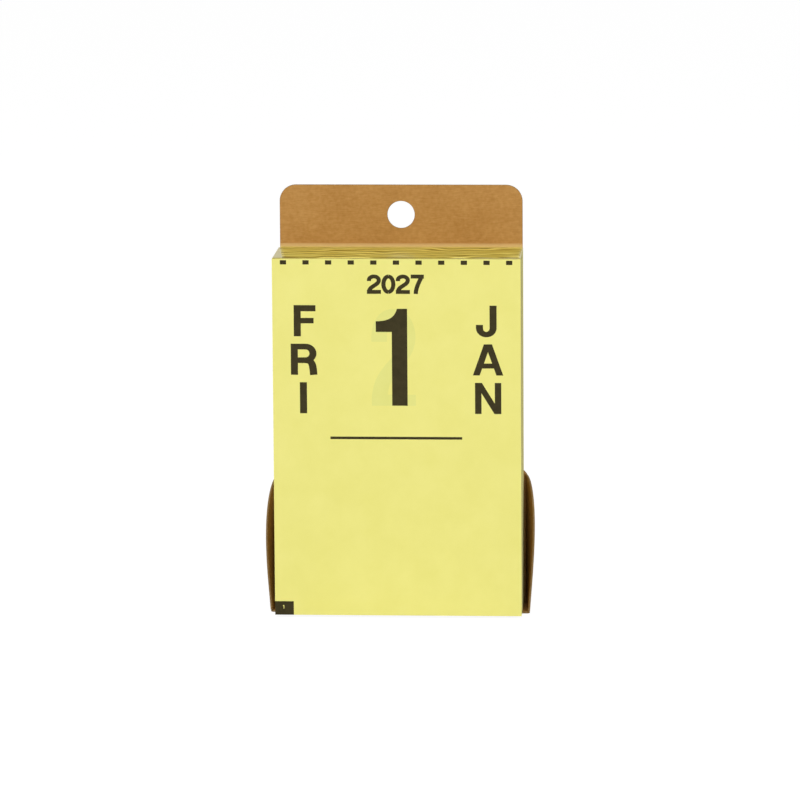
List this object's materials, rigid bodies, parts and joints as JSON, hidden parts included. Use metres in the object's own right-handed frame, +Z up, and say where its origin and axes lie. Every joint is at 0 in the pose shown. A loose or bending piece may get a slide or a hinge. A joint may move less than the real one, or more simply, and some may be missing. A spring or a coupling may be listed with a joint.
{
  "type": "tear off day calendar",
  "caption": "Glued pad of day sheets on a folded kraft board with a hang hole, a bottom panel and two side wings; hangs on a wall or stands on a desk.",
  "frame": {"origin": "on the surface the calendar stands on, at the middle of its width and depth", "axes": "+Z up, the front sheet faces -Y, +X to the viewer's right"},
  "size_m": [0.0822, 0.0256, 0.1295],
  "materials": {
    "kraft_board": "uncoated brown kraft board with a fine fibre",
    "yellow_paper": "thin matt yellow paper, dark print on the front",
    "padding_glue": "clear glossy padding glue, a little wavy",
    "tape": "pale double-sided tape"
  },
  "bodies": {
    "pad_and_board": {"backing_board": "kraft_board", "bottom_panel": "kraft_board", "head_glue_film": "padding_glue", "upper_mounting_tape": "tape", "lower_mounting_tape": "tape", "january_sheets": "yellow_paper", "february_sheets": "yellow_paper", "march_sheets": "yellow_paper", "april_sheets": "yellow_paper", "may_sheets": "yellow_paper", "june_sheets": "yellow_paper", "july_sheets": "yellow_paper", "august_sheets": "yellow_paper", "september_sheets": "yellow_paper", "october_sheets": "yellow_paper", "november_sheets": "yellow_paper", "december_sheets": "yellow_paper"},
    "left_wing": {"left_wing": "kraft_board"},
    "right_wing": {"right_wing": "kraft_board"},
    "sheet_jan_01": {"sheet_jan_01": "yellow_paper"},
    "sheet_jan_02": {"sheet_jan_02": "yellow_paper"},
    "sheet_jan_03": {"sheet_jan_03": "yellow_paper"}
  },
  "joints": [
    {"name": "left_wing_fold", "type": "hinge", "parent": "pad_and_board", "child": "left_wing", "pos_m": [-0.03792, 0.01244, 0], "axis": [0, 0, -1], "range_deg": [-4, 74.1]},
    {"name": "right_wing_fold", "type": "hinge", "parent": "pad_and_board", "child": "right_wing", "pos_m": [0.03792, 0.01244, 0], "axis": [0, 0, 1], "range_deg": [-4, 74.1]},
    {"name": "sheet_jan_01_lift", "type": "hinge", "parent": "sheet_jan_02", "child": "sheet_jan_01", "pos_m": [0, -0.0127, 0.1102], "axis": [-1, 0, 0], "range_deg": [0, 150]},
    {"name": "sheet_jan_02_lift", "type": "hinge", "parent": "sheet_jan_03", "child": "sheet_jan_02", "pos_m": [0, -0.01263, 0.1102], "axis": [-1, 0, 0], "range_deg": [0, 40]},
    {"name": "sheet_jan_03_lift", "type": "hinge", "parent": "pad_and_board", "child": "sheet_jan_03", "pos_m": [0, -0.01256, 0.1102], "axis": [-1, 0, 0], "range_deg": [0, 30]}
  ]
}
